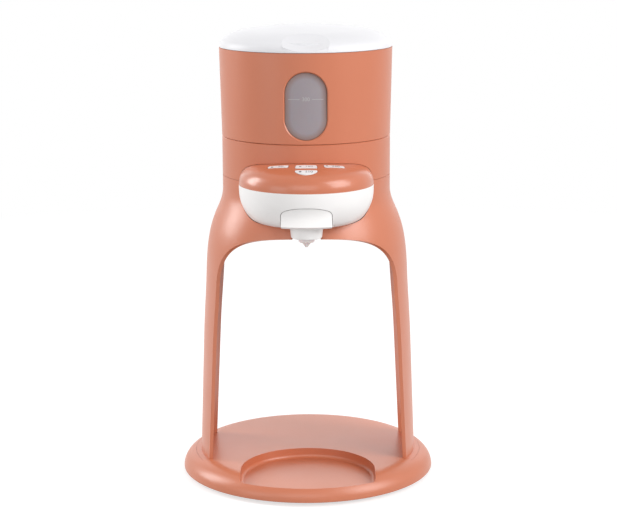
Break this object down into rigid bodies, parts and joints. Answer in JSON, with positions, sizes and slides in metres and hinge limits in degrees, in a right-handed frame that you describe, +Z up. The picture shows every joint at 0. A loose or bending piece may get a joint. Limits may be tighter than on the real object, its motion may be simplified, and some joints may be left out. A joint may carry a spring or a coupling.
{
  "type": "baby formula maker",
  "caption": "Countertop water heater for formula: lift-off tank with hinged lid over an arched two-leg stand, pull-out nozzle head and round base with a bottle rest.",
  "frame": {"origin": "on the table, under the centre of the round base", "axes": "+Z up, -Y towards the front where the nozzle and keys are, +X to the right of someone facing it"},
  "size_m": [0.18, 0.18, 0.3209],
  "materials": {
    "terracotta_plastic": "satin moulded plastic, warm terracotta",
    "white_plastic": "satin white plastic",
    "frosted_plastic": "frosted translucent plastic",
    "silicone": "soft translucent silicone",
    "rubber": "matt rubber",
    "steel": "brushed",
    "iron": "cast",
    "grey_plastic": "matt moulded plastic",
    "cast_aluminium": "cast",
    "brass": "machined",
    "circuit_board": "green laminate with parts",
    "clear_hose": "silicone hose"
  },
  "bodies": {
    "stand": {"base_shell": "terracotta_plastic", "base_cover": "grey_plastic", "rubber_feet": "rubber", "base_screws": "steel", "base_weight": "iron", "leg_screws": "steel", "leg_frame": "terracotta_plastic", "underside_cover": "grey_plastic", "underside_screws": "steel", "housing_ring": "terracotta_plastic", "housing_screws": "steel", "cord_gland": "grey_plastic", "gland_nut": "grey_plastic", "dock_stem": "grey_plastic", "dock_seal": "rubber", "head_cover": "terracotta_plastic", "head_bowl": "white_plastic", "head_screws": "steel", "control_board": "circuit_board", "board_screws": "steel", "pump": "steel", "pump_cradle": "grey_plastic", "heater_block": "cast_aluminium", "heater_bracket": "steel", "temperature_sensor": "brass", "thermal_fuse": "steel", "power_board": "circuit_board", "board_guides": "grey_plastic", "inlet_hose": "clear_hose", "pressure_hose": "clear_hose", "outlet_tube": "clear_hose"},
    "tank": {"tank_shell": "terracotta_plastic", "tank_reservoir": "frosted_plastic", "hinge_pin": "steel", "valve_body": "white_plastic", "valve_cap": "white_plastic", "valve_spring": "steel", "tank_filter": "white_plastic"},
    "valve": {"valve_plunger": "white_plastic", "valve_seal": "rubber"},
    "lid": {"lid": "white_plastic"},
    "drawer": {"nozzle_drawer": "white_plastic", "nozzle": "silicone"},
    "key_left_body": {"key_left": "white_plastic"},
    "key_middle_body": {"key_middle": "white_plastic"},
    "key_lower_body": {"key_lower": "white_plastic"},
    "key_right_body": {"key_right": "white_plastic"}
  },
  "joints": [
    {"name": "tank_lift", "type": "slide", "parent": "stand", "child": "tank", "axis": [0, 0, 1], "range_m": [0, 0.08]},
    {"name": "valve_close", "type": "slide", "parent": "tank", "child": "valve", "axis": [0, 0, 1], "range_m": [-0.002, 0], "deforming": ["valve_spring"]},
    {"name": "lid_hinge", "type": "hinge", "parent": "tank", "child": "lid", "pos_m": [0, 0.0609, 0.3063], "axis": [-1, 0, 0], "range_deg": [0, 105]},
    {"name": "drawer_slide", "type": "slide", "parent": "stand", "child": "drawer", "axis": [0, -1, 0], "range_m": [0, 0.045]},
    {"name": "key_left_press", "type": "slide", "parent": "stand", "child": "key_left_body", "axis": [0, 0, -1], "range_m": [0, 0.0008], "stiffness_N_per_m": 800, "springref_m": -0.001},
    {"name": "key_middle_press", "type": "slide", "parent": "stand", "child": "key_middle_body", "axis": [0, 0, -1], "range_m": [0, 0.0008], "stiffness_N_per_m": 800, "springref_m": -0.001},
    {"name": "key_lower_press", "type": "slide", "parent": "stand", "child": "key_lower_body", "axis": [0, 0, -1], "range_m": [0, 0.0008], "stiffness_N_per_m": 800, "springref_m": -0.001},
    {"name": "key_right_press", "type": "slide", "parent": "stand", "child": "key_right_body", "axis": [0, 0, -1], "range_m": [0, 0.0008], "stiffness_N_per_m": 800, "springref_m": -0.001}
  ],
  "couplings": [
    {"joint": "valve_close", "follows": "tank_lift", "ratio": -0.025}
  ]
}
